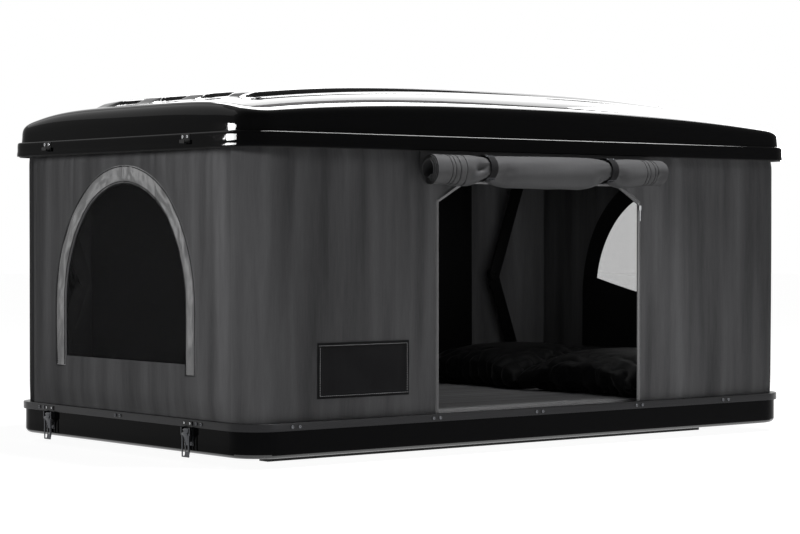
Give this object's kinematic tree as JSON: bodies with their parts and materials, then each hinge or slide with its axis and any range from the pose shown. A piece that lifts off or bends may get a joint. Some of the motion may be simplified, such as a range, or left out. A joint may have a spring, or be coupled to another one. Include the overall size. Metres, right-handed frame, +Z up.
{
  "type": "roof top tent",
  "caption": "pop-up hard-shell roof top tent with a rising domed lid on folding gas-spring arms, canvas walls, arched net windows, rolled-up door, mattress and pillows",
  "frame": {"origin": "centre of the four roof-bar bolt slots, on the underside of the two mounting channels", "axes": "+X along the tent's length towards the pillows, +Z up, the rolled-up door faces -Y"},
  "size_m": [2.1232, 1.3305, 1.052],
  "materials": {
    "gloss_shell": "gloss black fibreglass",
    "edge_rail": "satin dark aluminium",
    "bare_aluminium": "mill aluminium",
    "steel_fittings": "brushed stainless steel",
    "dark_screws": "blackened steel",
    "arm_paint": "matt black paint",
    "gas_tube_paint": "gloss black paint",
    "rod_chrome": "polished rod",
    "canvas": "grey coated canvas",
    "window_net": "black insect net",
    "trim_tape": "grey coated tape",
    "black_cloth": "black woven cloth",
    "black_webbing": "black webbing",
    "mattress_cover": "grey streaked cover",
    "zip_tape": "black zip tape",
    "seal_rubber": "black rubber"
  },
  "bodies": {
    "base": {"base_tray": "gloss_shell", "mount_channels": "bare_aluminium", "base_rail": "edge_rail", "rail_screws": "dark_screws", "mattress": "mattress_cover", "pillow_front": "black_cloth", "pillow_rear": "black_cloth", "base_brackets": "arm_paint", "base_pins": "steel_fittings", "latch_plates": "steel_fittings", "latch_pins": "dark_screws", "tent_front": "canvas", "tent_rear": "canvas", "tent_left": "canvas", "tent_right": "canvas", "window_net_left": "window_net", "window_net_right": "window_net", "window_trim_left": "trim_tape", "window_trim_right": "trim_tape", "window_flap_right": "black_cloth", "door_zips": "zip_tape", "zip_sliders": "steel_fittings", "patch": "black_cloth"},
    "lid": {"lid_shell": "gloss_shell", "lid_frame": "bare_aluminium", "lid_seal": "seal_rubber", "lid_brackets": "arm_paint", "lid_pins": "steel_fittings", "lid_keepers": "steel_fittings", "keeper_screws": "dark_screws", "door_roll": "canvas", "roll_straps": "black_webbing", "strap_buckles": "steel_fittings"},
    "lower_arm_rr": {"lower_arm_rr": "arm_paint"},
    "upper_arm_rr": {"upper_arm_rr": "arm_paint"},
    "gas_rod_rr": {"gas_rod_rr": "rod_chrome"},
    "gas_tube_rr": {"gas_tube_rr": "gas_tube_paint"},
    "lower_arm_lr": {"lower_arm_lr": "arm_paint"},
    "upper_arm_lr": {"upper_arm_lr": "arm_paint"},
    "gas_rod_lr": {"gas_rod_lr": "rod_chrome"},
    "gas_tube_lr": {"gas_tube_lr": "gas_tube_paint"},
    "lower_arm_lf": {"lower_arm_lf": "arm_paint"},
    "upper_arm_lf": {"upper_arm_lf": "arm_paint"},
    "gas_rod_lf": {"gas_rod_lf": "rod_chrome"},
    "gas_tube_lf": {"gas_tube_lf": "gas_tube_paint"},
    "lower_arm_rf": {"lower_arm_rf": "arm_paint"},
    "upper_arm_rf": {"upper_arm_rf": "arm_paint"},
    "gas_rod_rf": {"gas_rod_rf": "rod_chrome"},
    "gas_tube_rf": {"gas_tube_rf": "gas_tube_paint"},
    "lever_rr": {"lever_rr": "steel_fittings"},
    "bail_rr": {"bail_rr": "steel_fittings"},
    "lever_lr": {"lever_lr": "steel_fittings"},
    "bail_lr": {"bail_lr": "steel_fittings"},
    "lever_lf": {"lever_lf": "steel_fittings"},
    "bail_lf": {"bail_lf": "steel_fittings"},
    "lever_rf": {"lever_rf": "steel_fittings"},
    "bail_rf": {"bail_rf": "steel_fittings"}
  },
  "joints": [
    {"name": "lift", "type": "hinge", "parent": "base", "child": "lower_arm_rr", "pos_m": [0.975, 0.56, 0.078], "axis": [0, -1, 0], "range_deg": [0, 64.47], "stiffness_Nm_per_rad": 520, "springref_deg": -8.31, "deforming": ["tent_front", "tent_rear", "tent_left", "tent_right", "window_net_left", "window_net_right", "window_trim_left", "window_trim_right", "window_flap_right", "door_zips", "zip_sliders", "patch", "door_roll", "roll_straps", "strap_buckles"]},
    {"name": "elbow_rr", "type": "hinge", "parent": "lower_arm_rr", "child": "upper_arm_rr", "pos_m": [0.82759, 0.56, 0.483], "axis": [0, -1, 0], "range_deg": [-128.95, 0]},
    {"name": "lid_level", "type": "hinge", "parent": "upper_arm_rr", "child": "lid", "pos_m": [0.975, 0.55, 0.888], "axis": [0, -1, 0], "range_deg": [0, 64.47]},
    {"name": "gas_rod_pivot_rr", "type": "hinge", "parent": "upper_arm_rr", "child": "gas_rod_rr", "pos_m": [0.93019, 0.58, 0.76488], "axis": [0, -1, 0], "range_deg": [-3.24, 0]},
    {"name": "gas_stroke_rr", "type": "slide", "parent": "gas_rod_rr", "child": "gas_tube_rr", "axis": [0.2516, 0, 0.9678], "range_m": [0, 0.08871]},
    {"name": "lower_arm_pivot_lr", "type": "hinge", "parent": "base", "child": "lower_arm_lr", "pos_m": [-0.975, 0.56, 0.078], "axis": [0, 1, 0], "range_deg": [0, 64.47]},
    {"name": "elbow_lr", "type": "hinge", "parent": "lower_arm_lr", "child": "upper_arm_lr", "pos_m": [-0.82759, 0.56, 0.483], "axis": [0, 1, 0], "range_deg": [-128.95, 0]},
    {"name": "gas_rod_pivot_lr", "type": "hinge", "parent": "upper_arm_lr", "child": "gas_rod_lr", "pos_m": [-0.93019, 0.58, 0.76488], "axis": [0, 1, 0], "range_deg": [-3.24, 0]},
    {"name": "gas_stroke_lr", "type": "slide", "parent": "gas_rod_lr", "child": "gas_tube_lr", "axis": [-0.2516, 0, 0.9678], "range_m": [0, 0.08871]},
    {"name": "lower_arm_pivot_lf", "type": "hinge", "parent": "base", "child": "lower_arm_lf", "pos_m": [-0.975, -0.56, 0.078], "axis": [0, 1, 0], "range_deg": [0, 64.47]},
    {"name": "elbow_lf", "type": "hinge", "parent": "lower_arm_lf", "child": "upper_arm_lf", "pos_m": [-0.82759, -0.56, 0.483], "axis": [0, 1, 0], "range_deg": [-128.95, 0]},
    {"name": "gas_rod_pivot_lf", "type": "hinge", "parent": "upper_arm_lf", "child": "gas_rod_lf", "pos_m": [-0.93019, -0.58, 0.76488], "axis": [0, 1, 0], "range_deg": [-3.24, 0]},
    {"name": "gas_stroke_lf", "type": "slide", "parent": "gas_rod_lf", "child": "gas_tube_lf", "axis": [-0.2516, 0, 0.9678], "range_m": [0, 0.08871]},
    {"name": "lower_arm_pivot_rf", "type": "hinge", "parent": "base", "child": "lower_arm_rf", "pos_m": [0.975, -0.56, 0.078], "axis": [0, -1, 0], "range_deg": [0, 64.47]},
    {"name": "elbow_rf", "type": "hinge", "parent": "lower_arm_rf", "child": "upper_arm_rf", "pos_m": [0.82759, -0.56, 0.483], "axis": [0, -1, 0], "range_deg": [-128.95, 0]},
    {"name": "gas_rod_pivot_rf", "type": "hinge", "parent": "upper_arm_rf", "child": "gas_rod_rf", "pos_m": [0.93019, -0.58, 0.76488], "axis": [0, -1, 0], "range_deg": [-3.24, 0]},
    {"name": "gas_stroke_rf", "type": "slide", "parent": "gas_rod_rf", "child": "gas_tube_rf", "axis": [0.2516, 0, 0.9678], "range_m": [0, 0.08871]},
    {"name": "latch_lever_rr", "type": "hinge", "parent": "base", "child": "lever_rr", "pos_m": [1.0458, 0.393, 0.092], "axis": [0, 1, 0], "range_deg": [-120, 0]},
    {"name": "latch_bail_rr", "type": "hinge", "parent": "lever_rr", "child": "bail_rr", "pos_m": [1.0506, 0.393, 0.082], "axis": [0, -1, 0], "range_deg": [0, 174.87]},
    {"name": "latch_lever_lr", "type": "hinge", "parent": "base", "child": "lever_lr", "pos_m": [-1.0458, 0.393, 0.092], "axis": [0, -1, 0], "range_deg": [-120, 0]},
    {"name": "latch_bail_lr", "type": "hinge", "parent": "lever_lr", "child": "bail_lr", "pos_m": [-1.0506, 0.393, 0.082], "axis": [0, 1, 0], "range_deg": [0, 174.87]},
    {"name": "latch_lever_lf", "type": "hinge", "parent": "base", "child": "lever_lf", "pos_m": [-1.0458, -0.333, 0.092], "axis": [0, -1, 0], "range_deg": [-120, 0]},
    {"name": "latch_bail_lf", "type": "hinge", "parent": "lever_lf", "child": "bail_lf", "pos_m": [-1.0506, -0.333, 0.082], "axis": [0, 1, 0], "range_deg": [0, 174.87]},
    {"name": "latch_lever_rf", "type": "hinge", "parent": "base", "child": "lever_rf", "pos_m": [1.0458, -0.333, 0.092], "axis": [0, 1, 0], "range_deg": [-120, 0]},
    {"name": "latch_bail_rf", "type": "hinge", "parent": "lever_rf", "child": "bail_rf", "pos_m": [1.0506, -0.333, 0.082], "axis": [0, -1, 0], "range_deg": [0, 174.87]}
  ],
  "couplings": [
    {"joint": "lid_level", "follows": "lift", "ratio": 1},
    {"joint": "elbow_rr", "follows": "lift", "ratio": -2},
    {"joint": "gas_rod_pivot_rr", "follows": "lift", "ratio": -0.050246},
    {"joint": "gas_stroke_rr", "follows": "lift", "m_per_rad": 0.07883},
    {"joint": "lower_arm_pivot_lr", "follows": "lift", "ratio": 1},
    {"joint": "elbow_lr", "follows": "lift", "ratio": -2},
    {"joint": "gas_rod_pivot_lr", "follows": "lift", "ratio": -0.050246},
    {"joint": "gas_stroke_lr", "follows": "lift", "m_per_rad": 0.07883},
    {"joint": "lower_arm_pivot_lf", "follows": "lift", "ratio": 1},
    {"joint": "elbow_lf", "follows": "lift", "ratio": -2},
    {"joint": "gas_rod_pivot_lf", "follows": "lift", "ratio": -0.050246},
    {"joint": "gas_stroke_lf", "follows": "lift", "m_per_rad": 0.07883},
    {"joint": "lower_arm_pivot_rf", "follows": "lift", "ratio": 1},
    {"joint": "elbow_rf", "follows": "lift", "ratio": -2},
    {"joint": "gas_rod_pivot_rf", "follows": "lift", "ratio": -0.050246},
    {"joint": "gas_stroke_rf", "follows": "lift", "m_per_rad": 0.07883}
  ]
}
